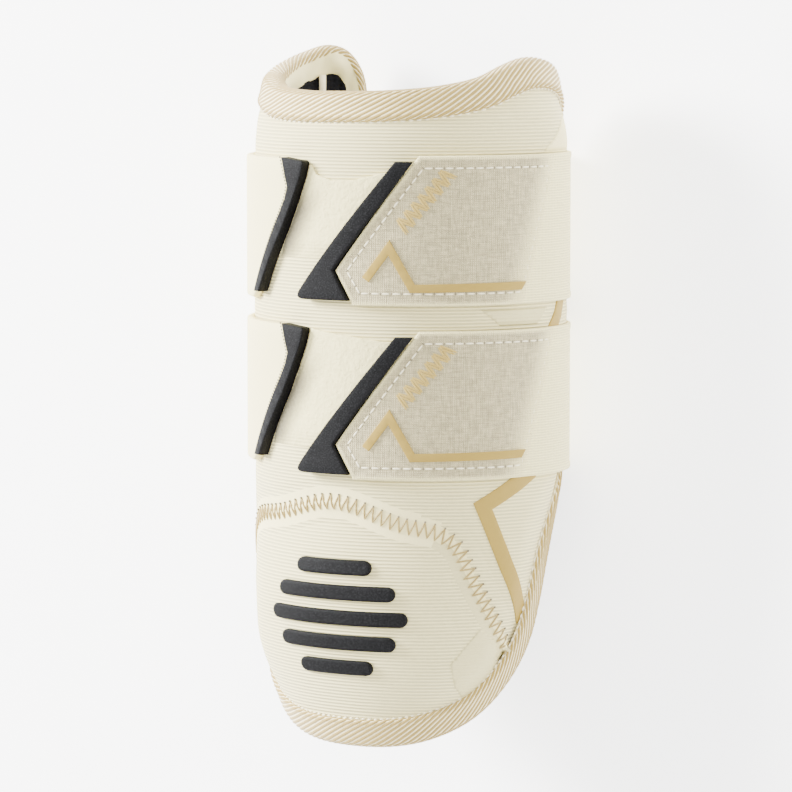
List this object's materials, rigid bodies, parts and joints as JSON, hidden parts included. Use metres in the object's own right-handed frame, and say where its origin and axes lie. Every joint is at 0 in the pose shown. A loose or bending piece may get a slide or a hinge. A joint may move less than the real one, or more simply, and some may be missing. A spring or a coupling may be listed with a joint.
{
  "type": "baseball elbow guard",
  "caption": "Padded C-shaped batting elbow guard with a bowl-shaped elbow cap, striped edge binding and two elastic straps with hook tabs.",
  "frame": {"origin": "middle of the guard's footprint, on the plane that the flat backs of its straps rest on", "axes": "+X across the guard to the tab side, +Y along the forearm away from the elbow cap, +Z out of the guard's front"},
  "size_m": [0.1152, 0.232, 0.09],
  "materials": {
    "knit_cover": "ribbed knit",
    "binding_tape": "diagonal woven tape",
    "mesh_lining": "open mesh",
    "tan_trim": "satin",
    "strap_webbing": "woven elastic",
    "black_rubber": "matte grained",
    "loop_pile": "brushed loop pile"
  },
  "bodies": {
    "root": {"body_panel": "knit_cover", "elbow_cap": "knit_cover", "facing_band": "knit_cover", "edge_binding": "binding_tape", "mesh_lining": "mesh_lining", "lining_tape": "tan_trim", "side_line": "tan_trim", "upper_tab_line": "tan_trim", "lower_tab_line": "tan_trim", "upper_strap": "strap_webbing", "lower_strap": "strap_webbing", "upper_strap_tab": "strap_webbing", "lower_strap_tab": "strap_webbing", "upper_anchor": "strap_webbing", "lower_anchor": "strap_webbing", "upper_tab_edge": "black_rubber", "lower_tab_edge": "black_rubber", "upper_anchor_edge": "black_rubber", "lower_anchor_edge": "black_rubber", "cap_rib_1": "black_rubber", "cap_rib_2": "black_rubber", "cap_rib_3": "black_rubber", "cap_rib_4": "black_rubber", "cap_rib_5": "black_rubber", "upper_loop_patch": "loop_pile", "lower_loop_patch": "loop_pile"}
  },
  "joints": []
}
